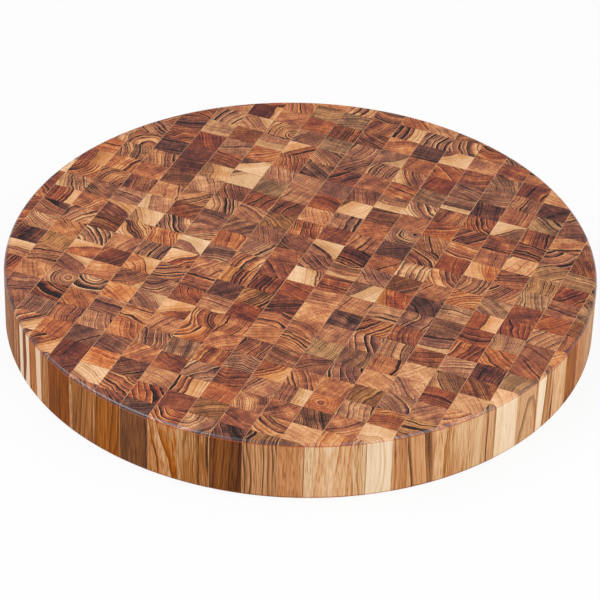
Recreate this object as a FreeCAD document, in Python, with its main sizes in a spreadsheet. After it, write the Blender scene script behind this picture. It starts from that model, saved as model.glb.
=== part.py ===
import FreeCAD, Part
import math
import os

import Sketcher

# Round end-grain chopping block, in millimetres.
#
# Short hardwood blocks stand on end in straight rows. A film of glue fills every joint
# between two blocks of a row, and a longer film, the glue line, lies between two rows.
# The glued-up panel is then turned round, and both rims are rounded over. Here the blocks
# and films that reach the rim are turned in the same way, and the others stay whole.
#
# The origin is the middle of the underside and +Z is up. The rows run along Y and follow
# one another along X, and one glue line lies on the Y axis.

SIZES = {
    "board_diameter": 457.2,
    "board_thickness": 50.8,
    "edge_round": 3.175,
    # One block: across its row, and along its row.
    "block_width": 23.95,
    "block_length": 19.9,
    # Thickness of the glue between rows, and between the blocks of a row.
    "row_glue": 0.3,
    "block_glue": 0.2,
    # How far the turning cut runs past the faces of the panel.
    "cut_overrun": 6.0,
}

# Where the joints of each row fall, from the first row to the last, as a share of the
# distance from one joint to the next. Hand gluing leaves them nearly in line.
ROW_SHIFT_SHARES = (
    0.62, 0.66, 0.68, 0.64, 0.64, 0.67, 0.64, 0.55, 0.47, 0.46,
    0.55, 0.50, 0.55, 0.56, 0.61, 0.65, 0.61, 0.68, 0.53, 0.62,
)  # fmt: skip

# Sizes that follow from the sheet, as expressions on its cells.
RADIUS = "(Sizes.board_diameter / 2)"
FLAT_RADIUS = f"({RADIUS} - Sizes.edge_round)"
ROW_PITCH = "(Sizes.block_width + Sizes.row_glue)"
BLOCK_PITCH = "(Sizes.block_length + Sizes.block_glue)"
# No block that reaches the rim stands out further than this before it is turned.
PANEL_REACH = f"({RADIUS} + {ROW_PITCH} + {BLOCK_PITCH})"


def make_sheet(doc):
    """Put the driving dimensions into a sheet, one named cell each."""
    sheet = doc.addObject("Spreadsheet::Sheet", "Sizes")
    for line, (name, value) in enumerate(SIZES.items(), start=1):
        sheet.set(f"A{line}", name)
        sheet.set(f"B{line}", str(value))
        sheet.setAlias(f"B{line}", name)
    doc.recompute()
    return sheet


def new_body(doc, name):
    """A sub-part that may hold several separate solids."""
    body = doc.addObject("PartDesign::Body", name)
    body.Label = name
    body.AllowCompound = True
    body.Placement = FreeCAD.Placement()
    return body


def origin_feature(body, role):
    """The body's own plane or axis with this role."""
    return next(item for item in body.Origin.OriginFeatures if item.Role == role)


def new_sketch(body, name, plane):
    """A sketch on one of the body's own origin planes."""
    sketch = body.newObject("Sketcher::SketchObject", name)
    sketch.AttachmentSupport = [(origin_feature(body, plane), "")]
    sketch.MapMode = "FlatFace"
    sketch.Visibility = False
    return sketch


def dimension(sketch, kind, name, ends, value, expression):
    """Add a named dimension to a sketch and bind it to the sheet."""
    index = sketch.addConstraint(Sketcher.Constraint(kind, *ends, value))
    sketch.renameConstraint(index, name)
    sketch.setExpression(f"Constraints.{name}", expression)


def rectangle(body, name, size, centre):
    """A rectangle of this width and length on the underside, round this centre."""
    sketch = new_sketch(body, name, "XY_Plane")
    corners = [FreeCAD.Vector(x, y, 0) for x, y in ((-1, -1), (1, -1), (1, 1), (-1, 1))]
    for start, end in zip(corners, corners[1:] + corners[:1]):
        sketch.addGeometry(Part.LineSegment(start, end), False)
    for side in range(4):
        sketch.addConstraint(Sketcher.Constraint("Coincident", side, 2, (side + 1) % 4, 1))
        level = "Horizontal" if side % 2 == 0 else "Vertical"
        sketch.addConstraint(Sketcher.Constraint(level, side))
    sketch.addConstraint(Sketcher.Constraint("Symmetric", 0, 1, 2, 1, -1, 1))
    dimension(sketch, "DistanceX", "width", (0, 1, 0, 2), 2, size[0])
    dimension(sketch, "DistanceY", "length", (1, 1, 1, 2), 2, size[1])
    sketch.setExpression("AttachmentOffset.Base.x", centre[0])
    sketch.setExpression("AttachmentOffset.Base.y", centre[1])
    return sketch


def stand_up(body, name, size, centre):
    """A piece of this width and length, as tall as the board."""
    outline = rectangle(body, f"{name}_outline", size, centre)
    pad = body.newObject("PartDesign::Pad", f"{name}_pad")
    pad.Profile = outline
    pad.setExpression("Length", "Sizes.board_thickness")
    return pad


def repeat_along_row(body, name, piece, count):
    """Repeat a piece along its row, one block after another."""
    pattern = body.newObject("PartDesign::LinearPattern", f"{name}_pattern")
    pattern.Originals = [piece]
    pattern.Direction = (origin_feature(body, "Y_Axis"), [""])
    pattern.Mode = "Spacing"
    pattern.setExpression("Offset", BLOCK_PITCH)
    pattern.setExpression("Occurrences", count)
    body.Tip = pattern


def turn_round(body, sheet):
    """Turn what the body holds so far to the round, with both rims rounded over."""
    radius = sheet.board_diameter / 2
    top = sheet.board_thickness
    edge = sheet.edge_round
    flat = radius - edge
    under = -sheet.cut_overrun
    over = top + sheet.cut_overrun
    reach = sheet.evalExpression(PANEL_REACH)
    quarter = math.pi / 2

    def rim(height, start, end):
        circle = Part.Circle(FreeCAD.Vector(flat, height, 0), FreeCAD.Vector(0, 0, 1), edge)
        return Part.ArcOfCircle(circle, start, end)

    def side(start, end):
        return Part.LineSegment(FreeCAD.Vector(*start, 0), FreeCAD.Vector(*end, 0))

    # What is cut away, in half section: the two rims and the wall, then the loop round
    # the outside. The arcs run anticlockwise, so each is met at its second end on the way
    # down.
    sketch = new_sketch(body, f"{body.Name}_profile", "XZ_Plane")
    outline = [
        rim(top - edge, 0, quarter),
        side((radius, top - edge), (radius, edge)),
        rim(edge, -quarter, 0),
        side((flat, 0), (flat, under)),
        side((flat, under), (reach, under)),
        side((reach, under), (reach, over)),
        side((reach, over), (flat, over)),
        side((flat, over), (flat, top)),
    ]
    sketch.addGeometry(outline, False)
    top_rim, wall, bottom_rim, lower_side, bottom, outside, cover, upper_side = range(len(outline))
    origin = (-1, 1)
    x_axis = -1
    constraints = [
        Sketcher.Constraint("Tangent", top_rim, 1, wall, 1),
        Sketcher.Constraint("Tangent", wall, 2, bottom_rim, 2),
        Sketcher.Constraint("Coincident", bottom_rim, 1, lower_side, 1),
        Sketcher.Constraint("Coincident", upper_side, 2, top_rim, 2),
        Sketcher.Constraint("Vertical", top_rim, 2, top_rim, 3),
        Sketcher.Constraint("Vertical", bottom_rim, 1, bottom_rim, 3),
        Sketcher.Constraint("Equal", top_rim, bottom_rim),
        Sketcher.Constraint("PointOnObject", lower_side, 1, x_axis),
    ]
    loop = (lower_side, bottom, outside, cover, upper_side)
    for line, following in zip(loop, loop[1:]):
        constraints.append(Sketcher.Constraint("Coincident", line, 2, following, 1))
    for line in (bottom, cover):
        constraints.append(Sketcher.Constraint("Horizontal", line))
    for line in (lower_side, outside, upper_side):
        constraints.append(Sketcher.Constraint("Vertical", line))
    sketch.addConstraint(constraints)
    dimension(sketch, "Radius", "edge", (top_rim,), edge, "Sizes.edge_round")
    dimension(sketch, "DistanceX", "radius", (*origin, wall, 1), radius, RADIUS)
    dimension(sketch, "DistanceX", "reach", (*origin, outside, 1), reach, PANEL_REACH)
    dimension(sketch, "DistanceY", "top", (*origin, top_rim, 2), top, "Sizes.board_thickness")
    dimension(sketch, "DistanceY", "under", (bottom, 1, *origin), -under, "Sizes.cut_overrun")
    dimension(sketch, "DistanceY", "over", (top_rim, 2, cover, 2), over - top, "Sizes.cut_overrun")

    groove = body.newObject("PartDesign::Groove", f"{body.Name}_turned")
    groove.Profile = sketch
    groove.ReferenceAxis = (sketch, ["V_Axis"])
    groove.Angle = 360


def lay_out_row(number, row_count):
    """Where one row lies, and which of its joints bound the board and its whole blocks."""
    x = f"({number - (row_count + 1) / 2} * {ROW_PITCH})"
    share = ROW_SHIFT_SHARES[(number - 1) % len(ROW_SHIFT_SHARES)]
    inner_side = f"(abs({x}) - Sizes.block_width / 2)"
    outer_side = f"(abs({x}) + Sizes.block_width / 2)"
    # Half the row's length on the board, and half the length that stays inside the
    # rounded rim, where a film needs its own thickness too.
    reach = f"sqrt({RADIUS}^2 - {inner_side}^2)"
    inside = f"sqrt(max({FLAT_RADIUS}^2 - {outer_side}^2; 0))"
    clear = f"max({inside} - Sizes.block_glue; 0)"

    def joints_to(distance):
        return f"({distance} / {BLOCK_PITCH} - {share})"

    return {
        "x": x,
        "joint": lambda count: f"({count} + {share}) * {BLOCK_PITCH}",
        "first": f"floor({joints_to('-' + reach)})",
        "last": f"ceil({joints_to(reach)})",
        "whole_from": f"ceil({joints_to('-' + clear)})",
        "whole_to": f"floor({joints_to(clear)})",
    }


def fill_row(body, sheet, x, length, ends, middle):
    """Lay pieces of one length along a row: the runs to be turned, then the whole run.

    A run is the place of its first piece along the row, and how many pieces it has.
    """

    def lay(name, first, count):
        if sheet.evalExpression(count) < 1:
            return False
        name = f"{body.Name}_{name}"
        piece = stand_up(body, name, ("Sizes.block_width", length), (x, first))
        repeat_along_row(body, name, piece, count)
        return True

    turned = [lay(name, *run) for name, run in ends.items()]
    if any(turned):
        turn_round(body, sheet)
    lay("whole", *middle)


def row_blocks(doc, sheet, name, row):
    """The blocks of one row. Each stands between one joint and the next."""
    body = new_body(doc, name)

    def run(first, last):
        return f"{row['joint'](first)} + {BLOCK_PITCH} / 2", f"{last} - {first}"

    back_from = f"max({row['whole_from']}; {row['whole_to']})"
    ends = {
        "front": run(row["first"], row["whole_from"]),
        "back": run(back_from, row["last"]),
    }
    middle = run(row["whole_from"], row["whole_to"])
    fill_row(body, sheet, row["x"], "Sizes.block_length", ends, middle)
    return body


def row_glue(doc, sheet, name, row):
    """The films between the blocks of one row, in every joint but the two outermost."""
    body = new_body(doc, name)

    def run(first, last):
        return row["joint"](first), f"{last} - {first} + 1"

    ends = {
        "front": run(f"({row['first']} + 1)", f"({row['whole_from']} - 1)"),
        "back": run(f"({row['whole_to']} + 1)", f"({row['last']} - 1)"),
    }
    middle = run(row["whole_from"], row["whole_to"])
    fill_row(body, sheet, row["x"], "Sizes.block_glue", ends, middle)
    return body


def glue_line(doc, sheet, name, x):
    """The film between two rows, from rim to rim."""
    body = new_body(doc, name)
    half_chord = f"sqrt({RADIUS}^2 - (abs({x}) - Sizes.row_glue / 2)^2)"
    length = f"2 * ({half_chord} + {BLOCK_PITCH})"
    stand_up(body, name, ("Sizes.row_glue", length), (x, "0"))
    turn_round(body, sheet)
    return body


def build(doc, sheet):
    """Every sub-part of the board, in the order of the rows."""
    rows_to_rim = math.ceil(sheet.evalExpression(f"{RADIUS} / {ROW_PITCH}"))
    row_count = 2 * rows_to_rim
    pieces = []
    for number in range(1, row_count + 1):
        row = lay_out_row(number, row_count)
        pieces.append(row_blocks(doc, sheet, f"row_{number:02d}_blocks", row))
        pieces.append(row_glue(doc, sheet, f"row_{number:02d}_glue", row))
    for number in range(1, row_count):
        x = f"{number - rows_to_rim} * {ROW_PITCH}"
        pieces.append(glue_line(doc, sheet, f"glue_line_{number:02d}", x))
    doc.recompute()
    return pieces


def check(doc, pieces):
    """Stop if an object failed, a cut took nothing off or a sub-part has no sound solid."""
    for item in doc.Objects:
        if "Invalid" in item.State or "Error" in item.State:
            raise RuntimeError(f"{item.Label} failed: {item.State}")
        if item.TypeId == "PartDesign::Groove":
            if item.Shape.Volume >= item.BaseFeature.Shape.Volume:
                raise RuntimeError(f"{item.Label} took nothing off")
    for piece in pieces:
        shape = piece.Shape
        if shape.isNull() or not shape.isValid() or not shape.Solids:
            raise RuntimeError(f"{piece.Label} has no valid solid")


def main():
    doc = FreeCAD.newDocument("chopping_block")
    pieces = build(doc, make_sheet(doc))
    check(doc, pieces)
    os.makedirs("parts", exist_ok=True)
    for piece in pieces:
        piece.Shape.exportStep(f"parts/{piece.Label}.step")
    solids = sum(len(piece.Shape.Solids) for piece in pieces)
    print(f"{len(pieces)} sub-parts, {solids} solids")


main()
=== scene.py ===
import math
import random
from collections import namedtuple
from types import SimpleNamespace

import bmesh
import bpy
from bpy.props import FloatProperty, FloatVectorProperty, IntProperty, PointerProperty
from mathutils import Matrix, Vector


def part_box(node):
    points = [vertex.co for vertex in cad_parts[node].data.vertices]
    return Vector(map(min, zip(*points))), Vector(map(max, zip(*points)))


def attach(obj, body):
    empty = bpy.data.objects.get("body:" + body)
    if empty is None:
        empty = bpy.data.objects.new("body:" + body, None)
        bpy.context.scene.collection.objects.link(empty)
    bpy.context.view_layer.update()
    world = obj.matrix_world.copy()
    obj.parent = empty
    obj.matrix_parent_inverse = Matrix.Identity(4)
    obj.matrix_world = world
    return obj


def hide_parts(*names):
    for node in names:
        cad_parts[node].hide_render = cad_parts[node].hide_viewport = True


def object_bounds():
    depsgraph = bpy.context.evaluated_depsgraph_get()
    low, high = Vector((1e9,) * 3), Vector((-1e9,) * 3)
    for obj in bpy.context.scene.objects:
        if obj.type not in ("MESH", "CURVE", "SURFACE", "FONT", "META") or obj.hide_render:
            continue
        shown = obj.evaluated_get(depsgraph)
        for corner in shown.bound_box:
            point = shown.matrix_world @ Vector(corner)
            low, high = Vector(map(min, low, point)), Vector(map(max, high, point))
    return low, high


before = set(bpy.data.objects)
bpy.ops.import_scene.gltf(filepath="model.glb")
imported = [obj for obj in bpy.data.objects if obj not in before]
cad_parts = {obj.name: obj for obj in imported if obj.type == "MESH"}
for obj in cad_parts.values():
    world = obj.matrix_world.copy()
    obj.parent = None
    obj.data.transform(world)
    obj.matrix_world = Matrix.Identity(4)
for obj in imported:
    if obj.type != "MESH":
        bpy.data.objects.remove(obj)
CAD_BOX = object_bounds()

bl_info = {
    "name": "Round Chopping Block",
    "version": (1, 0, 0),
    "blender": (4, 5, 0),
    "location": "3D View > Sidebar > Chopping Block",
    "description": "Dress a round end-grain chopping block in hardwood and glue, on a white stage",
    "category": "Object",
}

MM = 0.001
BODY = "root"

# Two places closer than this are the same.
SAME_PLACE = 0.001 * MM
# Points of two films of glue lie further apart than this.
FILMS_APART = 2 * MM

# One block of wood: its row, its number from the row's front end, and its four sides. A side
# is None where the block ends at the rim.
Block = namedtuple("Block", "row number left right front back")


def srgb(red, green, blue):
    """A colour as a paint chart gives it, from 0 to 255, as a shader wants it."""

    def linear(value):
        level = value / 255
        return level / 12.92 if level <= 0.04045 else ((level + 0.055) / 1.055) ** 2.4

    return tuple(linear(value) for value in (red, green, blue))


# Kinds of wood. Each gives the ranges that a block's own values are drawn from: its tone, from
# pale to dark, how strongly its rings show, the width of a ring and the distance of the pith in
# millimetres, how many of its rings are black, and how olive it is. Share is how often the kind
# comes up.
KINDS = {
    "blond": dict(
        share=4, tone=(0.14, 0.24), contrast=(0.3, 0.6), ring=(2.4, 6.0), pith=(40, 150),
        ink=(0.0, 0.15), olive=(0.0, 0.3),
    ),
    "honey": dict(
        share=30, tone=(0.28, 0.40), contrast=(0.25, 0.6), ring=(1.7, 5.0), pith=(45, 200),
        ink=(0.0, 0.3), olive=(0.0, 0.25),
    ),
    "ringed": dict(
        share=25, tone=(0.37, 0.49), contrast=(0.7, 1.1), ring=(1.7, 4.6), pith=(16, 80),
        ink=(0.1, 0.55), olive=(0.0, 0.2),
    ),
    "russet": dict(
        share=30, tone=(0.46, 0.58), contrast=(0.3, 0.7), ring=(1.6, 5.0), pith=(40, 180),
        ink=(0.0, 0.4), olive=(0.0, 0.15),
    ),
    "fine": dict(
        share=7, tone=(0.49, 0.61), contrast=(0.6, 0.9), ring=(1.1, 1.9), pith=(30, 140),
        ink=(0.2, 0.5), olive=(0.0, 0.4),
    ),
    "chocolate": dict(
        share=2, tone=(0.62, 0.76), contrast=(0.4, 0.75), ring=(2.0, 4.5), pith=(30, 120),
        ink=(0.1, 0.4), olive=(0.0, 0.2),
    ),
    "olive": dict(
        share=3, tone=(0.38, 0.52), contrast=(0.5, 0.8), ring=(1.6, 3.6), pith=(30, 140),
        ink=(0.0, 0.25), olive=(0.5, 0.8),
    ),
    "inked": dict(
        share=4, tone=(0.38, 0.52), contrast=(0.7, 1.0), ring=(3.0, 6.0), pith=(10, 50),
        ink=(0.8, 1.0), olive=(0.0, 0.3),
    ),
    "pith": dict(
        share=0, tone=(0.36, 0.44), contrast=(0.8, 1.0), ring=(1.6, 2.6), pith=(0, 6),
        ink=(0.0, 0.15), olive=(0.0, 0.3),
    ),
}

# Blocks whose kind is given: for each row, their numbers from its front end.
# Some of these choices also paint light on the wall. The blond blocks at its right front are paler
# for the light on that side, and the russet and chocolate blocks at its left front are darker for
# the shade there, on top of their own tones. Olive blocks at its right end, such as the first two
# of row 17 and the fourth to sixth of row 20, give the dull grey of a painted reflection.
CHOSEN_KINDS = {
    "chocolate": {
        4: (15, 17), 5: (15, 16), 6: (1, 2, 3), 8: (3, 11), 9: (1, 18), 10: (10, 21), 11: (9,),
        12: (1, 13, 21), 13: (9, 14), 15: (10, 17), 17: (17,), 18: (5,), 20: (3,),
    },
    "russet": {2: (1,), 3: (1, 2, 3), 7: (1,), 8: (1,)},
    "fine": {
        4: (3, 9), 5: (14,), 8: (13,), 9: (5, 15, 21), 10: (5,), 12: (6,), 13: (18,),
        14: (3, 7, 12, 15), 15: (18, 19),
    },
    "olive": {
        3: (6,), 8: (22,), 9: (14, 22), 11: (2,), 13: (1,), 14: (1,), 15: (4,),
        17: (1, 2, 16), 18: (11, 12), 19: (1, 3, 10), 20: (4, 5, 6),
    },
    "inked": {3: (8,), 7: (8, 9, 20), 9: (7,), 12: (22,), 13: (2, 15), 14: (8,), 16: (12,)},
    "ringed": {4: (2,), 5: (1, 2), 10: (1,), 11: (1,)},
    "pith": {4: (5,), 14: (4,)},
    "honey": {4: (13,), 5: (13,), 7: (18,), 10: (6, 7), 14: (5,)},
    "blond": {14: (2,), 15: (1,), 16: (1,), 18: (1, 2, 3), 20: (2,)},
}

# Blocks from the outside of the log, so that part of them is pale sapwood: for each row and
# number, which way the bark lay, in degrees from +X, and the share that is sapwood. A share
# over 1 leaves the heartwood well outside the block.
SAPWOOD = {
    1: {6: (0, 1.0)},
    2: {3: (90, 0.5), 7: (0, 0.25), 8: (205, 0.35), 10: (0, 0.5)},
    4: {1: (310, 0.45), 2: (310, 0.42), 6: (60, 0.35), 7: (120, 0.4), 10: (60, 0.4)},
    5: {2: (315, 0.43), 10: (225, 0.3), 11: (30, 0.7), 12: (200, 0.3)},
    6: {7: (315, 0.2), 8: (45, 0.4), 15: (20, 0.6), 19: (45, 0.3), 20: (0, 0.15)},
    7: {
        2: (60, 0.7), 7: (45, 0.3), 10: (135, 0.5), 11: (60, 0.5), 16: (315, 0.85), 17: (300, 0.7),
        19: (270, 0.45),
    },
    8: {7: (120, 0.55), 19: (135, 0.45)},
    9: {10: (180, 0.4)},
    10: {3: (0, 0.5)},
    11: {11: (200, 0.75), 13: (60, 0.55), 16: (330, 0.8), 20: (315, 0.35), 22: (0, 0.45)},
    12: {5: (320, 0.45), 12: (270, 0.25), 17: (270, 0.5), 19: (210, 0.35)},
    13: {4: (0, 0.45), 11: (330, 0.55), 17: (225, 0.35), 21: (320, 0.75)},
    14: {11: (200, 0.25), 18: (270, 0.25)},
    16: {2: (90, 1.3), 8: (280, 0.25), 13: (200, 0.5), 16: (135, 0.5)},
    17: {9: (0, 0.5)},
    19: {2: (45, 1.2)},
    20: {1: (250, 0.5)},
}
# The pith of such a block lies this far off, in millimetres.
SAPWOOD_PITH = (35, 110)
# A boundary of sapwood that no block reaches.
NO_SAPWOOD = 1000.0


def colour(name, description, *chart):
    """A property for a colour, with its default as a paint chart gives it."""
    return FloatVectorProperty(
        name=name, description=description, default=srgb(*chart), subtype="COLOR", min=0, max=1
    )


def share(name, description, default):
    """A property for a share from 0 to 1."""
    return FloatProperty(
        name=name, description=description, default=default, subtype="FACTOR", min=0, max=1
    )


def length(name, description, default):
    """A property for a length, with its default in metres."""
    return FloatProperty(
        name=name, description=description, default=default, unit="LENGTH", precision=4
    )


def angle(name, description, degrees):
    """A property for an angle, with its default in degrees."""
    return FloatProperty(
        name=name, description=description, default=math.radians(degrees), subtype="ANGLE"
    )


class BoardSizes(bpy.types.PropertyGroup):
    """Sizes of the turned board."""

    radius: length(
        "Radius", "From the middle of the board to its wall", (CAD_BOX[1].y - CAD_BOX[0].y) / 2
    )
    thickness: length(
        "Thickness", "From the underside to the working face", CAD_BOX[1].z - CAD_BOX[0].z
    )
    edge_round: length("Edge rounding", "Radius of both rounded rims", 3.175 * MM)
    turn_steps: IntProperty(
        name="Steps round the board", description="Facets of the wall", default=360, min=24
    )
    edge_steps: IntProperty(
        name="Steps over the rim", description="Facets of a rounded rim", default=8, min=2
    )


class WoodLook(bpy.types.PropertyGroup):
    """Colours and finish of the hardwood."""

    seed: IntProperty(name="Seed", description="Draws another set of blocks", default=7)
    straw: colour("Straw", "Palest heartwood", 236, 181, 128)
    honey: colour("Honey", "Pale heartwood", 209, 134, 85)
    amber: colour("Amber", "Most of the heartwood", 166, 94, 70)
    russet: colour("Russet", "Darker heartwood", 119, 66, 54)
    chocolate: colour("Chocolate", "Dark heartwood", 81, 46, 44)
    black: colour("Black", "Black rings", 31, 20, 21)
    olive_pale: colour("Pale olive", "Pale wood with a green cast", 192, 146, 98)
    olive: colour("Olive", "Wood with a green cast", 138, 98, 64)
    olive_dark: colour("Dark olive", "Dark wood with a green cast", 86, 60, 46)
    cream: colour("Cream", "Palest sapwood", 241, 199, 157)
    sand: colour("Sand", "Darker sapwood", 214, 156, 104)
    umber: colour("Umber", "Stained sapwood", 158, 98, 62)
    ivory: colour("Ivory", "Palest wood on the wall", 247, 224, 194)
    blond: colour("Blond", "Pale wood on the wall", 224, 182, 137)
    tan: colour("Tan", "Most of the wood on the wall", 172, 98, 26)
    # Dun, in olive wood on the wall, also stands in for the dull grey that a grazing reflection
    # gives the blocks at the right end: a painted reflection.
    dun: colour("Dun", "Dull wood on the wall", 208, 154, 110)
    walnut: colour("Walnut", "Dark wood on the wall", 118, 59, 18)
    # Ember is partly the oil in the rim and partly a painted glow: the orange line that light gives
    # the rounded rim is painted into its colour.
    ember: colour("Ember", "Oil in the rim, where end grain turns to long grain", 168, 74, 28)
    soot: colour("Soot", "Darkest wood on the wall", 60, 30, 15)
    roughness: share("Roughness", "Of the oiled surface", 0.32)


class GlueLook(bpy.types.PropertyGroup):
    """Colours and finish of the glue."""

    row_line: colour("Row line", "Glue between two rows", 214, 166, 122)
    joint: colour("Joint", "Glue between the blocks of a row", 128, 80, 52)
    roughness: share("Roughness", "Of the sanded glue", 0.5)


class StageLook(bpy.types.PropertyGroup):
    """Camera, light and floor."""

    distance: length("Distance", "From the camera to the middle of the board", 2.3482)
    azimuth: angle("Azimuth", "Of the camera, round the board", 21.7)
    elevation: angle("Elevation", "Of the camera, above the horizon", 35.711)
    roll: angle("Roll", "How far the camera leans", 1.816)
    lens: FloatProperty(
        name="Lens", description="Focal length in millimetres", default=181.24, unit="CAMERA"
    )
    shift: FloatProperty(
        name="Shift", description="Of the picture, up or down, as a share of its width",
        default=-0.02335,
    )
    surround: FloatProperty(
        name="Surround", description="Strength of the even light from all round", default=0.35
    )
    floor: colour("Floor", "Of the floor", 235, 235, 235)


class BlockSettings(bpy.types.PropertyGroup):
    """Everything that a user would change."""

    board: PointerProperty(type=BoardSizes)
    wood: PointerProperty(type=WoodLook)
    glue: PointerProperty(type=GlueLook)
    stage: PointerProperty(type=StageLook)


# The turned board and how it is sawn


def turned_board(board):
    """The whole board as it leaves the lathe: a closed mesh with both rims rounded over."""
    flat = board.radius - board.edge_round
    bends = [math.pi / 2 * step / board.edge_steps for step in range(board.edge_steps + 1)]
    lower = [
        (flat + board.edge_round * math.sin(bend), board.edge_round * (1 - math.cos(bend)))
        for bend in bends
    ]
    upper = [(out, board.thickness - height) for out, height in reversed(lower)]
    turns = [math.tau * step / board.turn_steps for step in range(board.turn_steps)]
    stock = bmesh.new()
    rings = [
        [stock.verts.new((out * math.cos(turn), out * math.sin(turn), height)) for turn in turns]
        for out, height in lower + upper
    ]
    for below, above in zip(rings, rings[1:]):
        for here in range(board.turn_steps):
            after = (here + 1) % board.turn_steps
            stock.faces.new((below[here], below[after], above[after], above[here]))
    stock.faces.new(rings[-1])
    stock.faces.new(list(reversed(rings[0])))
    return stock


def sawn(stock, axis, low, high):
    """A copy of the stock between two planes across an axis, with both cuts closed.

    Where a plane is None, nothing is cut.
    """
    piece = stock.copy()
    for place, way in ((low, -1), (high, 1)):
        if place is None:
            continue
        point = Vector((0, 0, 0))
        outward = Vector((0, 0, 0))
        point[axis] = place
        outward[axis] = way
        cut = bmesh.ops.bisect_plane(
            piece, geom=piece.verts[:] + piece.edges[:] + piece.faces[:], dist=SAME_PLACE,
            plane_co=point, plane_no=outward, clear_outer=True,
        )
        edges = [item for item in cut["geom_cut"] if isinstance(item, bmesh.types.BMEdge)]
        bmesh.ops.edgeloop_fill(piece, edges=edges)
    return piece


def row_numbers():
    """The numbers of the rows, from -X to +X."""
    return [int(node.split("_")[1]) for node in sorted(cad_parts) if node.endswith("_blocks")]


def row_sides(number, board):
    """Left and right side of a row, or None where it ends at the rim."""
    low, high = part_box(f"row_{number:02d}_blocks")
    inside = board.radius - board.edge_round
    return [side if abs(side) < inside else None for side in (low.x, high.x)]


def film_sides(number):
    """Front and back side of each film of glue in a row, from front to back."""
    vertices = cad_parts[f"row_{number:02d}_glue"].data.vertices
    places = sorted(vertex.co.y for vertex in vertices)
    films = []
    for place in places:
        if not films or place - films[-1][1] > FILMS_APART:
            films.append([place, place])
        films[-1][1] = place
    return films


def row_blocks(number, board):
    """The blocks of a row, each between one film of glue and the next."""
    left, right = row_sides(number, board)
    films = film_sides(number)
    fronts = [None] + [back for front, back in films]
    backs = [front for front, back in films] + [None]
    pairs = enumerate(zip(fronts, backs), start=1)
    return [Block(number, place, left, right, front, back) for place, (front, back) in pairs]


class Gathered:
    """Points and faces of sawn pieces on their way into one mesh."""

    def __init__(self, board):
        self.board = board
        self.points = []
        self.faces = []
        # For each point and each face, the number of the block that it belongs to.
        self.point_blocks = []
        self.face_blocks = []

    def add(self, piece, number=0):
        """Take over a sawn piece, which belongs to the block of this number."""
        first = len(self.points)
        piece.verts.index_update()
        self.points += [vertex.co.copy() for vertex in piece.verts]
        self.faces += [[first + vertex.index for vertex in face.verts] for face in piece.faces]
        self.point_blocks += [number] * len(piece.verts)
        self.face_blocks += [number] * len(piece.faces)
        piece.free()

    def spread(self, face, axis):
        """How far a face reaches along an axis."""
        places = [self.points[index][axis] for index in face]
        return max(places) - min(places)

    def side(self, face):
        """Which side of its piece a face is: top, underside, wall or a sawn cut."""
        if min(self.spread(face, 0), self.spread(face, 1)) < SAME_PLACE:
            return "cut"
        if self.spread(face, 2) < SAME_PLACE:
            return "top" if self.points[face[0]].z > self.board.thickness / 2 else "underside"
        return "wall"

    def turned_normal(self, point):
        """Which way the turned surface faces: up or down on its flats, outward on the wall."""
        edge = self.board.edge_round
        out = Vector((point.x, point.y, 0))
        beyond = max(out.length - (self.board.radius - edge), 0)
        above = max(point.z - (self.board.thickness - edge), 0)
        below = max(edge - point.z, 0)
        return (out.normalized() * beyond + Vector((0, 0, above - below))).normalized()

    def make(self, name):
        """The mesh object, smooth over the turned surface and sharp at every cut."""
        mesh = bpy.data.meshes.new(name)
        mesh.from_pydata(self.points, [], self.faces)
        mesh.shade_smooth()
        normals = []
        for face, polygon in zip(self.faces, mesh.polygons):
            if self.side(face) == "cut":
                normals += [polygon.normal.copy() for index in face]
            else:
                normals += [self.turned_normal(self.points[index]) for index in face]
        mesh.normals_split_custom_set(normals)
        piece = bpy.data.objects.new(name, mesh)
        bpy.context.scene.collection.objects.link(piece)
        return piece


# The map that a row's colours are baked through, with most room for the sides that show

MAP_NAME = "OFBake"
# A sawn cut, which glue hides, is drawn at this share of the others' scale.
HIDDEN_SHARE = 0.1
# How many blocks of the working face or the underside share one chart.
CHART_BLOCKS = 8
CHART_GAP = 0.9 * MM
# What the scale is multiplied by until all charts fit.
SHRINK_SHARE = 0.98


def face_chart(gathered, face, number, headings):
    """The chart that a face lies on, and where its points are on it, in metres."""
    board = gathered.board
    points = [gathered.points[index] for index in face]
    side = gathered.side(face)
    if side == "cut":
        along = 0 if gathered.spread(face, 0) > gathered.spread(face, 1) else 1
        places = [(point[along] * HIDDEN_SHARE, point.z * HIDDEN_SHARE) for point in points]
        return (side, face[0], along), places
    if side == "wall":
        places = []
        for point in points:
            turn = math.atan2(point.y, point.x) - headings[number]
            inset = board.radius - math.hypot(point.x, point.y)
            up = point.z + math.copysign(inset, point.z - board.thickness / 2)
            places.append((board.radius * math.remainder(turn, math.tau), up))
        return (side, number), places
    return (side, (number - 1) // CHART_BLOCKS), [(point.y, point.x) for point in points]


def shelves(sizes):
    """Lay charts on shelves, as large as the unit square takes them: scale and corners."""
    order = sorted(sizes, key=lambda key: (-sizes[key][1], str(key)))
    scale = 1 / max(width + CHART_GAP for width, height in sizes.values())
    while True:
        corners = {}
        across = up = shelf = 0
        for key in order:
            width, height = ((side + CHART_GAP) * scale for side in sizes[key])
            if across + width > 1:
                across, up, shelf = 0, up + shelf, 0
            corners[key] = (across, up)
            across += width
            shelf = max(shelf, height)
        if up + shelf <= 1:
            return scale, corners
        scale *= SHRINK_SHARE


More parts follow.
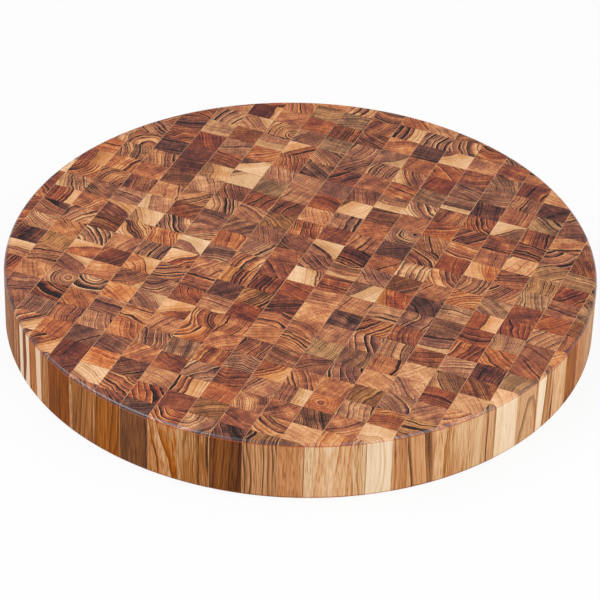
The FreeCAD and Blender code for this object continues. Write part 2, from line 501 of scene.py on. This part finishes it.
def give_map(piece, gathered):
    """Write the map of a row, one chart after another."""
    headings = {}
    for point, number in zip(gathered.points, gathered.point_blocks):
        headings.setdefault(number, Vector((0, 0, 0)))
        headings[number] += point
    headings = {number: math.atan2(total.y, total.x) for number, total in headings.items()}
    charts = {}
    first = 0
    for face, number in zip(gathered.faces, gathered.face_blocks):
        key, places = face_chart(gathered, face, number, headings)
        charts.setdefault(key, []).append((first, places))
        first += len(face)
    lows = {}
    sizes = {}
    for key, parts in charts.items():
        across, up = zip(*(place for start, places in parts for place in places))
        lows[key] = (min(across), min(up))
        sizes[key] = (max(across) - min(across), max(up) - min(up))
    scale, corners = shelves(sizes)
    spots = [0.0] * (2 * first)
    for key, parts in charts.items():
        for start, places in parts:
            for step, place in enumerate(places):
                for axis in (0, 1):
                    inside = (place[axis] - lows[key][axis] + CHART_GAP / 2) * scale
                    spots[2 * (start + step) + axis] = corners[key][axis] + inside
    layer = piece.data.uv_layers.new(name=MAP_NAME)
    layer.uv.foreach_set("vector", spots)


# What makes each block its own

# The values that a block's points carry, three under each name.
OWN_VALUES = {
    "pith": ("pith_x", "pith_y", "ring"),
    "figure": ("contrast", "ink", "seed"),
    "timber": ("tone", "olive", "blotchy"),
    "bark": ("boundary", "boundary_ink", "sap_tone"),
}
# The ranges that these are drawn from in every kind of wood.
BLOTCHY = (0.4, 1.0)
BOUNDARY_INK = (0.3, 1.0)
SAP_TONE = (0.1, 0.55)
# Half of a block's width and length, in millimetres, to place its sapwood by.
HALF_WIDTH = 12
HALF_LENGTH = 10


def chosen_kind(block):
    """The kind that is chosen by hand for a block, or None."""
    for kind, rows in CHOSEN_KINDS.items():
        if block.number in rows.get(block.row, ()):
            return kind
    return None


def draw_wood(block, middle, wood):
    """Draw one block's own wood: the values that its points carry, with lengths in millimetres."""
    draw = random.Random(f"{wood.seed} {block.row} {block.number}")
    shares = [values["share"] for values in KINDS.values()]
    drawn = draw.choices(list(KINDS), shares)[0]
    kind = KINDS[chosen_kind(block) or drawn]

    def between(name):
        return draw.uniform(*kind[name])

    heading = draw.uniform(0, math.tau)
    away = between("pith")
    boundary = NO_SAPWOOD
    sapwood = SAPWOOD.get(block.row, {}).get(block.number)
    sapwood_pith = draw.uniform(*SAPWOOD_PITH)
    if sapwood:
        bark_way, sapwood_share = sapwood
        heading = math.radians(bark_way)
        away = sapwood_pith
        # How far the block reaches from its middle towards the bark.
        reach = HALF_WIDTH * abs(math.cos(heading)) + HALF_LENGTH * abs(math.sin(heading))
        boundary = away + reach * (1 - 2 * sapwood_share)
    pith = (
        middle.x / MM - away * math.cos(heading),
        middle.y / MM - away * math.sin(heading),
        between("ring"),
    )
    figure = (between("contrast"), between("ink"), draw.random())
    timber = (between("tone"), between("olive"), draw.uniform(*BLOTCHY))
    bark = (boundary, draw.uniform(*BOUNDARY_INK), draw.uniform(*SAP_TONE))
    return {"pith": pith, "figure": figure, "timber": timber, "bark": bark}


def give_wood(piece, gathered, blocks, wood):
    """Write each block's own wood to its points."""
    points = {}
    for point, number in zip(gathered.points, gathered.point_blocks):
        points.setdefault(number, []).append(point)
    woods = {}
    for block in blocks:
        places = list(zip(*points[block.number]))
        middle = Vector([(min(along) + max(along)) / 2 for along in places])
        woods[block.number] = draw_wood(block, middle, wood)
    for name in OWN_VALUES:
        values = [part for number in gathered.point_blocks for part in woods[number][name]]
        piece.data.attributes.new(name, "FLOAT_VECTOR", "POINT").data.foreach_set("vector", values)


# Shader maths

# Oil and sanded glue reflect less than a varnish would.
SHINE = 0.08


def socket_named(sockets, key):
    """A socket by its place, or by its name among those in use."""
    if isinstance(key, int):
        return sockets[key]
    return next(item for item in sockets if item.name == key and not item.is_unavailable)


class Field:
    """A shader socket. Sums with it add Math nodes, and node() adds any other node."""

    def __init__(self, tree, socket=None):
        self.tree = tree
        self.socket = socket

    def node(self, kind, settings=None, sockets=None, out=0):
        """Add a node: its type, its settings, the values or links of its sockets."""
        made = self.tree.nodes.new(kind)
        for name, value in (settings or {}).items():
            if name == "stops":
                set_stops(made.color_ramp, value)
            else:
                setattr(made, name, value)
        for key, value in (sockets or {}).items():
            target = socket_named(made.inputs, key)
            if isinstance(value, Field):
                self.tree.links.new(value.socket, target)
            else:
                target.default_value = value
        return Field(self.tree, socket_named(made.outputs, out) if made.outputs else None)

    def output(self, key):
        """Another output of the same node."""
        return Field(self.tree, socket_named(self.socket.node.outputs, key))

    def maths(self, operation, *values):
        """Add a Math node with these values or links."""
        sockets = dict(enumerate(values))
        return self.node("ShaderNodeMath", {"operation": operation}, sockets)

    def __add__(self, other):
        return self.maths("ADD", self, other)

    def __radd__(self, other):
        return self.maths("ADD", other, self)

    def __sub__(self, other):
        return self.maths("SUBTRACT", self, other)

    def __rsub__(self, other):
        return self.maths("SUBTRACT", other, self)

    def __mul__(self, other):
        return self.maths("MULTIPLY", self, other)

    def __rmul__(self, other):
        return self.maths("MULTIPLY", other, self)

    def __truediv__(self, other):
        return self.maths("DIVIDE", self, other)

    def __abs__(self):
        return self.maths("ABSOLUTE", self)

    def step(self, low, high):
        """0 below low, 1 above high, and smooth between."""
        return self.node(
            "ShaderNodeMapRange", {"interpolation_type": "SMOOTHSTEP"},
            {"Value": self, "From Min": low, "From Max": high},
        )

    def at_least(self, least):
        """A share from 0 to 1, squeezed so that it starts at a least value."""
        return least + (1 - least) * self

    def parts(self):
        """The three parts of a vector."""
        split = self.node("ShaderNodeSeparateXYZ", None, {0: self})
        return split, split.output(1), split.output(2)

    def ramp(self, *colours):
        """Colours spread evenly from 0 to 1."""
        last = len(colours) - 1
        stops = [(place / last, (*tint, 1)) for place, tint in enumerate(colours)]
        return self.node("ShaderNodeValToRGB", {"stops": stops}, {0: self})

    def mix(self, low, high):
        """Two colours mixed by this factor."""
        settings = {"data_type": "RGBA", "clamp_factor": True}
        return self.node(
            "ShaderNodeMix", settings, {"Factor": self, "A": low, "B": high}, out="Result"
        )


def set_stops(ramp, stops):
    """Give a colour ramp these stops, each a place and a colour."""
    while len(ramp.elements) < len(stops):
        ramp.elements.new(1)
    for element, (place, tint) in zip(ramp.elements, stops):
        element.position = place
        element.color = tint


def new_material(name):
    """An empty material, and the field that its nodes start from."""
    material = bpy.data.materials.new(name)
    material.use_nodes = True
    material.node_tree.nodes.clear()
    return material, Field(material.node_tree)


def finish_material(shader, sockets):
    """Close a material with its surface."""
    sockets["Specular IOR Level"] = SHINE
    surface = shader.node("ShaderNodeBsdfPrincipled", None, sockets)
    shader.node("ShaderNodeOutputMaterial", None, {"Surface": surface})


# How the wood grows and what it shows, with lengths in millimetres

# What a block's seed is multiplied by, for each thing that differs from block to block.
SEED_TIMES = {
    "lean_x": 17, "lean_y": 29, "cast": 43, "wildness": 61, "chance": 97, "zone": 213,
    "uneven": 371, "drift": 613,
}
# The log never stands quite upright, so a block's grain leans by up to half of this slope.
LEAN_RANGE = 0.14

# Noise in patches: their width across the grain, their length along it, and their fine detail.
PATCHES = {
    "wander": (32, 110, 2), "sway": (11, 80, 1), "quiver": (4.5, 60, 1), "ink": (14, 120, 1),
    "contrast": (9, 90, 1), "blotch": (11, 70, 2), "fibre": (0.7, 26, 2), "streak": (1.6, 160, 2),
    "strand": (0.6, 150, 2), "stain": (16, 30, 2), "dust": (0.6, 3, 1),
}
NOISE_ROUGHNESS = 0.55
# Pores: their spacing, their length, and their size as a share of the spacing.
END_PORES = (0.75, 18, 0.42)
WALL_PORES = (0.8, 24, 0.36)
# Rays: how many there are to a radian, how fast they change outward, and how tall they are.
RAYS_PER_RADIAN = 48
RAY_CHANGE = 0.13
RAY_HEIGHT = 80

# How far the rings stray from true circles. Wild ones wander further.
STRAY = {"wander": 5, "wild_wander": 12, "sway": 3.2, "quiver": 0.8}
# Years differ in width: by how many years they are shifted, and how fast that changes.
UNEVEN_YEARS = 2.2
UNEVEN_CHANGE = 0.45
# Broad zones of darker and paler years change this fast, in a layer of noise of their own.
ZONE_CHANGE = 0.3
ZONE_LAYER = 5.0

# Where a mark sets in and where it is full. In a year, as shares of it:
EARLY_WOOD = (0.0, 0.17)
LATE_WOOD = (0.1, 0.97)
THIN_LINE = (0.82, 0.98)
BLACK_RING = (0.35, 0.75)
# In noise, and for the chance that a year is black:
INK_PATCHES = (-0.16, 0.06)
CONTRAST_PATCHES = (-0.22, 0.2)
BLACK_CHANCE = (0.93, 1.03)
# From the edge of the sapwood outward:
SAPWOOD_EDGE = (-0.3, 0.3)
SAPWOOD_LINE = (0.0, 1.4)
YOUNG_SAPWOOD = (0.0, 14.0)
# In how far the surface faces up, on end grain and on the flat inside the rim:
END_FACES = (0.12, 0.5)
FLAT_FACES = (0.9, 0.995)

# The least strength of marks that never quite vanish.
LEAST = {"early": 0.35, "pores": 0.35, "band": 0.12, "contrast": 0.56}
# How much stronger rings get in patches, and how much likelier ink makes a black year.
MORE_CONTRAST = 0.95
INK_CHANCE = 0.62
# How far fibres fray the edge of the sapwood.
SAPWOOD_FRAY = 0.8

# How much each mark darkens the wood, or lightens it where its weight is below 0. Weights of the
# rings also go with how strongly a block's rings show.
HEART_RINGS = {"plain": -0.08, "band": 0.74, "thin": 0.72, "zone": 1.3, "early": -0.68}
# The rim weights paint the rounded rim darker, partly for the oil in its end grain and partly as
# painted shade on the turned edge.
HEART_MARKS = {
    "tone": 1.0, "blotch": 0.9, "ray": 0.46, "fibre": 0.95, "pores": 0.28, "black": 0.52,
    "sap_line": 0.42, "rim": 0.12,
}
SAP_RINGS = {"plain": -0.1, "band": 0.8, "thin": 0.5, "zone": 0.8}
SAP_MARKS = {
    "plain": -0.1, "sap_tone": 1.0, "ray": 0.55, "fibre": 0.4, "pores": 0.3, "blotch": 0.9,
    "rim": 0.15, "young": 0.34,
}
WALL_RINGS = {"plain": -0.05, "band": 0.34, "thin": 0.24, "zone": 0.4}
WALL_MARKS = {
    "plain": 0.1, "tone": 0.9, "streak": 0.26, "strand": 0.55, "dashes": 0.2, "black_late": 0.28,
    "blotch": 0.3, "sap_line": 0.3,
}
WALL_SAP_RINGS = {"band": 0.6}
WALL_SAP_MARKS = {"sap_tone": 0.3, "streak": 0.45, "strand": 0.45, "dashes": 0.1}
# How much each mark turns brown wood olive, makes it rougher, raises it and makes it shine.
END_OLIVE = {"olive": 0.9, "blotch": 0.2}
WALL_OLIVE = {"olive": 1.2}
ROUGH_MARKS = {"pores": 0.12, "fibre": 0.12, "late": -0.04, "rim": -0.1, "on_wall": 0.25}
HEIGHT_MARKS = {"fibre": 0.25, "open_pores": -0.5, "open_dashes": -0.5, "early": -0.15}
COAT_MARKS = {"above": 0.2, "rim": 0.32}

# Orange over the rim where end grain turns to the wall, partly oil that the end grain drinks and
# partly a painted glow of light along the rim, and the share of it that sapwood turns away.
RIM_GLOW_AND_OIL = 3.0
SAPWOOD_SHEDS = 0.6
# Each block's own cast: how far it turns the hue, and how saturated it leaves the wood.
HUE_CAST = 0.012
SATURATION = 1.03
SATURATION_CAST = 0.14
# At this hue, a Hue node changes nothing.
SAME_HUE = 0.5
COAT_IOR = 2.0
COAT_ROUGHNESS = 0.3
BUMP_STRENGTH = 0.25
BUMP_HEIGHT = 0.08 * MM

# Glue: how much stains and dust lighten it, how dark and pale it gets, and how dust roughens it.
GLUE_MARKS = {"plain": 0.5, "stain": 1.8, "dust": 0.5}
GLUE_DARK = 0.42
GLUE_PALE = 1.25
DUST_ROUGHNESS = 0.2


class Grain:
    """A place in a block of wood, in millimetres, and the noise that a shader draws there."""

    def __init__(self, shader):
        self.shader = shader
        self.place = shader.node("ShaderNodeTexCoord", out="Object")
        scaled = shader.node(
            "ShaderNodeVectorMath", {"operation": "SCALE"}, {0: self.place, "Scale": 1 / MM}
        )
        self.x, self.y, self.z = scaled.parts()
        self.facing = self.place.output("Normal").parts()[2]
        self.seed = 0.0

    def vector(self, x, y, z):
        """A vector with these three parts."""
        return self.shader.node("ShaderNodeCombineXYZ", None, {0: x, 1: y, 2: z})

    def own(self, name):
        """The three parts of one of the block's own values."""
        settings = {"attribute_type": "GEOMETRY", "attribute_name": name}
        return self.shader.node("ShaderNodeAttribute", settings, out="Vector").parts()

    def shift(self, name):
        """How far a pattern is moved, so that no two blocks share it."""
        return self.seed * SEED_TIMES[name]

    def luck(self, name):
        """A number from 0 to 1 that is the block's own."""
        return self.shader.maths("FRACT", self.shift(name))

    def noise(self, vector, detail):
        """Smooth noise from about -0.5 to 0.5."""
        sockets = {"Vector": vector, "Scale": 1.0, "Detail": detail, "Roughness": NOISE_ROUGHNESS}
        return self.shader.node("ShaderNodeTexNoise", None, sockets) - 0.5

    def drift(self, name):
        """Noise in the patches of this name."""
        width, length, detail = PATCHES[name]
        shift = self.shift("drift")
        return self.noise(
            self.vector(self.x / width + shift, self.y / width - shift, self.z / length), detail
        )

    def pores(self, spacing, length, size):
        """Pores this far apart and this long, as a mask. Size is a share of the spacing."""
        vector = self.vector(self.x / spacing, self.y / spacing, self.z / length)
        away = self.shader.node("ShaderNodeTexVoronoi", None, {"Vector": vector, "Scale": 1.0})
        return 1 - away.step(size / 2, size)


def add_rings(shader, grain, marks):
    """Add the growth rings: years from the pith, the season within a year, and the rays."""
    across = grain.x - marks.pith_x
    along = grain.y - marks.pith_y
    wildness = grain.luck("wildness")
    wandering = STRAY["wander"] + STRAY["wild_wander"] * wildness * wildness
    wander = grain.drift("wander") * wandering
    sway = grain.drift("sway") * STRAY["sway"]
    quiver = grain.drift("quiver") * STRAY["quiver"]
    from_pith = shader.maths("SQRT", across * across + along * along)
    marks.radius = from_pith + wander + sway + quiver
    years = marks.radius / marks.ring
    uneven = grain.noise(grain.vector(years * UNEVEN_CHANGE, grain.shift("uneven"), 0.0), 0)
    years = years + uneven * UNEVEN_YEARS
    season = shader.maths("FRACT", years)
    year = shader.maths("FLOOR", years)
    chance = shader.node(
        "ShaderNodeTexWhiteNoise", {"noise_dimensions": "2D"},
        {"Vector": grain.vector(year, grain.shift("chance"), 0.0)},
    )
    marks.zone = grain.noise(grain.vector(years * ZONE_CHANGE, grain.shift("zone"), ZONE_LAYER), 1)
    marks.late = season.step(*LATE_WOOD)
    marks.early = (1 - season.step(*EARLY_WOOD)) * chance.at_least(LEAST["early"])
    marks.band = marks.late * marks.late * (LEAST["band"] + chance * chance)
    marks.thin = season.step(*THIN_LINE) * (1 - chance)
    black_year = (chance + marks.ink * INK_CHANCE).step(*BLACK_CHANCE)
    marks.black = black_year * season.step(*BLACK_RING) * grain.drift("ink").step(*INK_PATCHES)
    marks.black_late = marks.black * marks.late
    stronger = grain.drift("contrast").step(*CONTRAST_PATCHES)
    marks.contrast = marks.contrast * (LEAST["contrast"] + MORE_CONTRAST * stronger)
    turn = shader.maths("ARCTAN2", along, across)
    marks.ray = grain.noise(
        grain.vector(turn * RAYS_PER_RADIAN, marks.radius * RAY_CHANGE, grain.z / RAY_HEIGHT), 2
    )


def add_surface(grain, marks):
    """Add which way the surface faces, and the pores, which crowd into the early wood."""
    marks.on_end = abs(grain.facing).step(*END_FACES)
    marks.on_wall = 1 - marks.on_end
    marks.above = grain.facing.step(*END_FACES)
    marks.rim = marks.above * (1 - grain.facing.step(*FLAT_FACES))
    marks.pores = grain.pores(*END_PORES) * marks.early.at_least(LEAST["pores"])
    marks.open_pores = marks.pores * marks.on_end
    marks.dashes = grain.pores(*WALL_PORES)
    marks.open_dashes = marks.dashes * marks.on_wall


def add_sapwood(marks):
    """Add the sapwood, the dark line along its edge and its younger part beside it."""
    beyond = marks.radius - marks.boundary
    marks.in_sapwood = (beyond + marks.fibre * SAPWOOD_FRAY).step(*SAPWOOD_EDGE)
    marks.sap_line = (1 - abs(beyond).step(*SAPWOOD_LINE)) * marks.boundary_ink
    marks.young = 1 - beyond.step(*YOUNG_SAPWOOD)


def wood_marks(shader, board):
    """All that a block's wood shows, each mark as a field of its own."""
    grain = Grain(shader)
    marks = SimpleNamespace(plain=1.0)
    for name, parts in OWN_VALUES.items():
        vars(marks).update(zip(parts, grain.own(name)))
    grain.seed = marks.seed
    depth = grain.z - board.thickness / MM
    grain.x = grain.x + depth * (grain.luck("lean_x") - 0.5) * LEAN_RANGE
    grain.y = grain.y + depth * (grain.luck("lean_y") - 0.5) * LEAN_RANGE
    for name in ("fibre", "streak", "strand"):
        setattr(marks, name, grain.drift(name))
    marks.blotch = grain.drift("blotch") * marks.blotchy
    marks.cast = grain.luck("cast") - 0.5
    add_rings(shader, grain, marks)
    add_surface(grain, marks)
    add_sapwood(marks)
    return marks


def weighed(marks, weights):
    """The sum of the marks that are named, each times its weight."""
    return sum(getattr(marks, name) * weight for name, weight in weights.items())


def darkness(marks, rings, others):
    """How dark wood is, from 0 to 1, by the weights of its rings and of its other marks."""
    return marks.contrast * weighed(marks, rings) + weighed(marks, others)


def end_grain(marks, wood):
    """The colour of end grain, in heartwood and sapwood."""
    heart = darkness(marks, HEART_RINGS, HEART_MARKS)
    brown = heart.ramp(wood.straw, wood.honey, wood.amber, wood.russet, wood.chocolate, wood.black)
    green = heart.ramp(wood.olive_pale, wood.olive_pale, wood.olive, wood.olive_dark, wood.black)
    heartwood = weighed(marks, END_OLIVE).mix(brown, green)
    sapwood = darkness(marks, SAP_RINGS, SAP_MARKS).ramp(wood.cream, wood.sand, wood.umber)
    return marks.in_sapwood.mix(heartwood, sapwood)


def long_grain(marks, wood):
    """The colour of long grain on the wall, which the same rings run down as streaks."""
    heart = darkness(marks, WALL_RINGS, WALL_MARKS)
    brown = heart.ramp(wood.ivory, wood.blond, wood.tan, wood.walnut, wood.soot)
    green = heart.ramp(wood.ivory, wood.blond, wood.dun, wood.olive, wood.soot)
    heartwood = weighed(marks, WALL_OLIVE).mix(brown, green)
    sap = darkness(marks, WALL_SAP_RINGS, WALL_SAP_MARKS)
    sapwood = sap.ramp(wood.ivory, wood.blond, wood.tan)
    return marks.in_sapwood.mix(heartwood, sapwood)


def wood_material(wood, board):
    """Hardwood with rings round each block's own pith: end grain above, long grain on the wall."""
    material, shader = new_material("end_grain_wood")
    marks = wood_marks(shader, board)
    bare = marks.on_end.mix(long_grain(marks, wood), end_grain(marks, wood))
    # End grain drinks most oil where it turns over the rim, and the same orange paints in a glow of
    # light along the rim.
    oiled = marks.on_end * marks.on_wall * RIM_GLOW_AND_OIL * (1 - marks.in_sapwood * SAPWOOD_SHEDS)
    hue = SAME_HUE + marks.cast * HUE_CAST
    saturation = SATURATION - marks.cast * SATURATION_CAST
    tint = shader.node(
        "ShaderNodeHueSaturation", None,
        {"Hue": hue, "Saturation": saturation, "Color": oiled.mix(bare, (*wood.ember, 1))},
    )
    height = weighed(marks, HEIGHT_MARKS)
    bump = shader.node(
        "ShaderNodeBump", None,
        {"Strength": BUMP_STRENGTH, "Distance": BUMP_HEIGHT, "Height": height},
    )
    sockets = {
        "Base Color": tint,
        "Roughness": wood.roughness + weighed(marks, ROUGH_MARKS),
        "Coat Weight": weighed(marks, COAT_MARKS),
        "Coat IOR": COAT_IOR,
        "Coat Roughness": COAT_ROUGHNESS,
        "Normal": bump,
    }
    finish_material(shader, sockets)
    return material


def glue_material(name, tint, roughness):
    """Sanded wood glue, stained in patches and speckled with dust from the wood beside it."""
    material, shader = new_material(name)
    grain = Grain(shader)
    marks = SimpleNamespace(plain=1.0, stain=grain.drift("stain"), dust=grain.drift("dust"))
    dark = [part * GLUE_DARK for part in tint]
    pale = [min(part * GLUE_PALE, 1) for part in tint]
    stained = weighed(marks, GLUE_MARKS).ramp(dark, tint, pale)
    rough = roughness + marks.dust * DUST_ROUGHNESS
    finish_material(shader, {"Base Color": stained, "Roughness": rough})
    return material


# Operators, one for each piece or group of like pieces


def add_piece(piece, material, nodes):
    """Give a piece its material and tie it to the frame."""
    piece.data.materials.append(material)
    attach(piece, BODY)
    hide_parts(*nodes)


class CHOPPING_BLOCK_OT_wood_rows(bpy.types.Operator):
    """Saw the turned board into rows of blocks and give each block its own wood"""

    bl_idname = "chopping_block.wood_rows"
    bl_label = "Rows of wood"

    def execute(self, context):
        settings = context.scene.chopping_block
        board = settings.board
        material = wood_material(settings.wood, board)
        stock = turned_board(board)
        for number in row_numbers():
            blocks = row_blocks(number, board)
            strip = sawn(stock, 0, blocks[0].left, blocks[0].right)
            gathered = Gathered(board)
            for block in blocks:
                gathered.add(sawn(strip, 1, block.front, block.back), block.number)
            strip.free()
            piece = gathered.make(f"wood_row_{number:02d}")
            give_wood(piece, gathered, blocks, settings.wood)
            give_map(piece, gathered)
            add_piece(piece, material, [f"row_{number:02d}_blocks"])
        stock.free()
        return {"FINISHED"}


class CHOPPING_BLOCK_OT_row_glue(bpy.types.Operator):
    """Lay the lines of glue between the rows"""

    bl_idname = "chopping_block.row_glue"
    bl_label = "Glue between rows"

    def execute(self, context):
        settings = context.scene.chopping_block
        nodes = [node for node in sorted(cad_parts) if node.startswith("glue_line_")]
        stock = turned_board(settings.board)
        gathered = Gathered(settings.board)
        for node in nodes:
            low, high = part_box(node)
            gathered.add(sawn(stock, 0, low.x, high.x))
        stock.free()
        glue = settings.glue
        material = glue_material("row_line_glue", glue.row_line, glue.roughness)
        add_piece(gathered.make("row_glue_lines"), material, nodes)
        return {"FINISHED"}


class CHOPPING_BLOCK_OT_block_glue(bpy.types.Operator):
    """Lay the films of glue between the blocks of each row"""

    bl_idname = "chopping_block.block_glue"
    bl_label = "Glue between blocks"

    def execute(self, context):
        settings = context.scene.chopping_block
        stock = turned_board(settings.board)
        gathered = Gathered(settings.board)
        for number in row_numbers():
            strip = sawn(stock, 0, *row_sides(number, settings.board))
            for front, back in film_sides(number):
                gathered.add(sawn(strip, 1, front, back))
            strip.free()
        stock.free()
        nodes = [f"row_{number:02d}_glue" for number in row_numbers()]
        glue = settings.glue
        material = glue_material("block_joint_glue", glue.joint, glue.roughness)
        add_piece(gathered.make("block_glue_films"), material, nodes)
        return {"FINISHED"}


# The stage

# Side of the floor, in metres.
FLOOR_SIZE = 12.0
# The floor lies this far under the board, so that the two never share a face.
FLOOR_DROP = 0.05 * MM
# How much of the floor is even white where the camera sees it. The rest takes shadow.
FLOOR_GLOW = 0.9
# A reflection shows the white backdrop up to this height, as the sine of its elevation, and the
# dimmer ceiling above it.
BACKDROP_FADES = 0.15
BACKDROP_ENDS = 0.45
# The width of the camera's sensor in millimetres, which goes with the lens.
SENSOR_WIDTH = 36.0

# Soft lamps: their direction from the board in degrees, their distance and size in metres, their
# power in watts, and their colour.
Lamp = namedtuple("Lamp", "name azimuth elevation distance width height power tint")
LAMPS = (
    Lamp(
        "key_lamp", azimuth=75, elevation=38, distance=2.4, width=2.6, height=2.6, power=40,
        tint=(0.97, 0.99, 1.0),
    ),
    Lamp(
        "rim_lamp", azimuth=-57, elevation=55, distance=2.4, width=2.5, height=1.2, power=36,
        tint=(0.96, 0.94, 1.0),
    ),
)


def background_rays(shader):
    """1 for rays that should meet a white background, and 0 for those that light the board."""
    path = shader.node("ShaderNodeLightPath", out="Is Camera Ray")
    shown = shader.maths("MAXIMUM", path, path.output("Is Glossy Ray"))
    return shader.maths("MAXIMUM", shown, path.output("Is Transmission Ray"))


def floor_material(stage):
    """White floor that keeps a faint shadow, and is clear from below."""
    material, shader = new_material("white_floor")
    shaded = shader.node("ShaderNodeBsdfDiffuse", None, {"Color": (*stage.floor, 1)})
    glow = shader.node("ShaderNodeEmission", None, {"Strength": 1.0})
    seen = background_rays(shader) * FLOOR_GLOW
    lit = shader.node("ShaderNodeMixShader", None, {0: seen, 1: shaded, 2: glow})
    clear = shader.node("ShaderNodeBsdfTransparent")
    below = shader.node("ShaderNodeNewGeometry", out="Backfacing")
    both = shader.node("ShaderNodeMixShader", None, {0: below, 1: lit, 2: clear})
    shader.node("ShaderNodeOutputMaterial", None, {"Surface": both})
    return material


def add_floor(stage):
    """A wide flat floor just under the board."""
    mesh = bpy.data.meshes.new("floor")
    half = FLOOR_SIZE / 2
    corners = [(-half, -half), (half, -half), (half, half), (-half, half)]
    mesh.from_pydata([(x, y, -FLOOR_DROP) for x, y in corners], [], [range(len(corners))])
    mesh.materials.append(floor_material(stage))
    floor = bpy.data.objects.new("floor", mesh)
    bpy.context.scene.collection.objects.link(floor)


def add_world(stage):
    """Even light from all round, and white behind the board."""
    world = bpy.data.worlds.new("white_surround")
    world.use_nodes = True
    world.node_tree.nodes.clear()
    shader = Field(world.node_tree)
    path = shader.node("ShaderNodeLightPath", out="Is Camera Ray")
    height = shader.node("ShaderNodeTexCoord", out="Generated").parts()[2]
    ceiling = path.output("Is Glossy Ray") * height.step(BACKDROP_FADES, BACKDROP_ENDS)
    seen = background_rays(shader) * (1 - ceiling)
    strength = stage.surround + seen * (1 - stage.surround)
    light = shader.node("ShaderNodeBackground", None, {"Color": (1, 1, 1, 1), "Strength": strength})
    shader.node("ShaderNodeOutputWorld", None, {"Surface": light})
    bpy.context.scene.world = world


def direction(azimuth, elevation):
    """The way from the board to a place round it. Azimuth 0 is at -Y, as for the camera."""
    level = math.cos(elevation)
    return Vector((math.sin(azimuth) * level, -math.cos(azimuth) * level, math.sin(elevation)))


def add_lamp(lamp, aim):
    """A soft lamp that faces the board."""
    light = bpy.data.lights.new(lamp.name, "AREA")
    light.shape = "RECTANGLE"
    light.size = lamp.width
    light.size_y = lamp.height
    light.energy = lamp.power
    light.color = lamp.tint
    holder = bpy.data.objects.new(lamp.name, light)
    way = direction(math.radians(lamp.azimuth), math.radians(lamp.elevation))
    holder.location = aim + way * lamp.distance
    holder.rotation_euler = way.to_track_quat("Z", "Y").to_euler()
    bpy.context.scene.collection.objects.link(holder)


def add_camera(stage, aim):
    """The camera, which looks down on the board and leans a little."""
    lens = bpy.data.cameras.new("camera")
    lens.lens = stage.lens
    lens.sensor_width = SENSOR_WIDTH
    lens.shift_y = stage.shift
    camera = bpy.data.objects.new("camera", lens)
    way = direction(stage.azimuth, stage.elevation)
    camera.location = aim + way * stage.distance
    turned = way.to_track_quat("Z", "Y").to_matrix()
    camera.rotation_euler = (turned @ Matrix.Rotation(stage.roll, 3, "Z")).to_euler()
    bpy.context.scene.collection.objects.link(camera)
    bpy.context.scene.camera = camera


class CHOPPING_BLOCK_OT_stage(bpy.types.Operator):
    """Set the floor, the light and the camera round the board"""

    bl_idname = "chopping_block.stage"
    bl_label = "Stage"

    def execute(self, context):
        settings = context.scene.chopping_block
        stage = settings.stage
        aim = Vector((0, 0, settings.board.thickness / 2))
        add_floor(stage)
        add_world(stage)
        for lamp in LAMPS:
            add_lamp(lamp, aim)
        add_camera(stage, aim)
        context.scene.view_settings.view_transform = "Standard"
        return {"FINISHED"}


class CHOPPING_BLOCK_PT_panel(bpy.types.Panel):
    """The steps of dressing the board, in order"""

    bl_idname = "CHOPPING_BLOCK_PT_panel"
    bl_label = "Chopping Block"
    bl_space_type = "VIEW_3D"
    bl_region_type = "UI"
    bl_category = "Chopping Block"

    def draw(self, context):
        settings = context.scene.chopping_block
        for group in (settings.board, settings.wood, settings.glue, settings.stage):
            box = self.layout.box()
            for name in group.__annotations__:
                box.prop(group, name)
        for step in OPERATORS:
            self.layout.operator(step.bl_idname)


GROUPS = (BoardSizes, WoodLook, GlueLook, StageLook, BlockSettings)
OPERATORS = (
    CHOPPING_BLOCK_OT_wood_rows,
    CHOPPING_BLOCK_OT_row_glue,
    CHOPPING_BLOCK_OT_block_glue,
    CHOPPING_BLOCK_OT_stage,
)


def register():
    """Register the settings, the operators and the panel."""
    for item in (*GROUPS, *OPERATORS, CHOPPING_BLOCK_PT_panel):
        bpy.utils.register_class(item)
    bpy.types.Scene.chopping_block = PointerProperty(type=BlockSettings)


def unregister():
    """Take back what register() did."""
    del bpy.types.Scene.chopping_block
    for item in reversed((*GROUPS, *OPERATORS, CHOPPING_BLOCK_PT_panel)):
        bpy.utils.unregister_class(item)


def main():
    """Dress the board and set the stage."""
    register()
    bpy.ops.chopping_block.wood_rows()
    bpy.ops.chopping_block.row_glue()
    bpy.ops.chopping_block.block_glue()
    bpy.ops.chopping_block.stage()


if __name__ == "__main__":
    main()
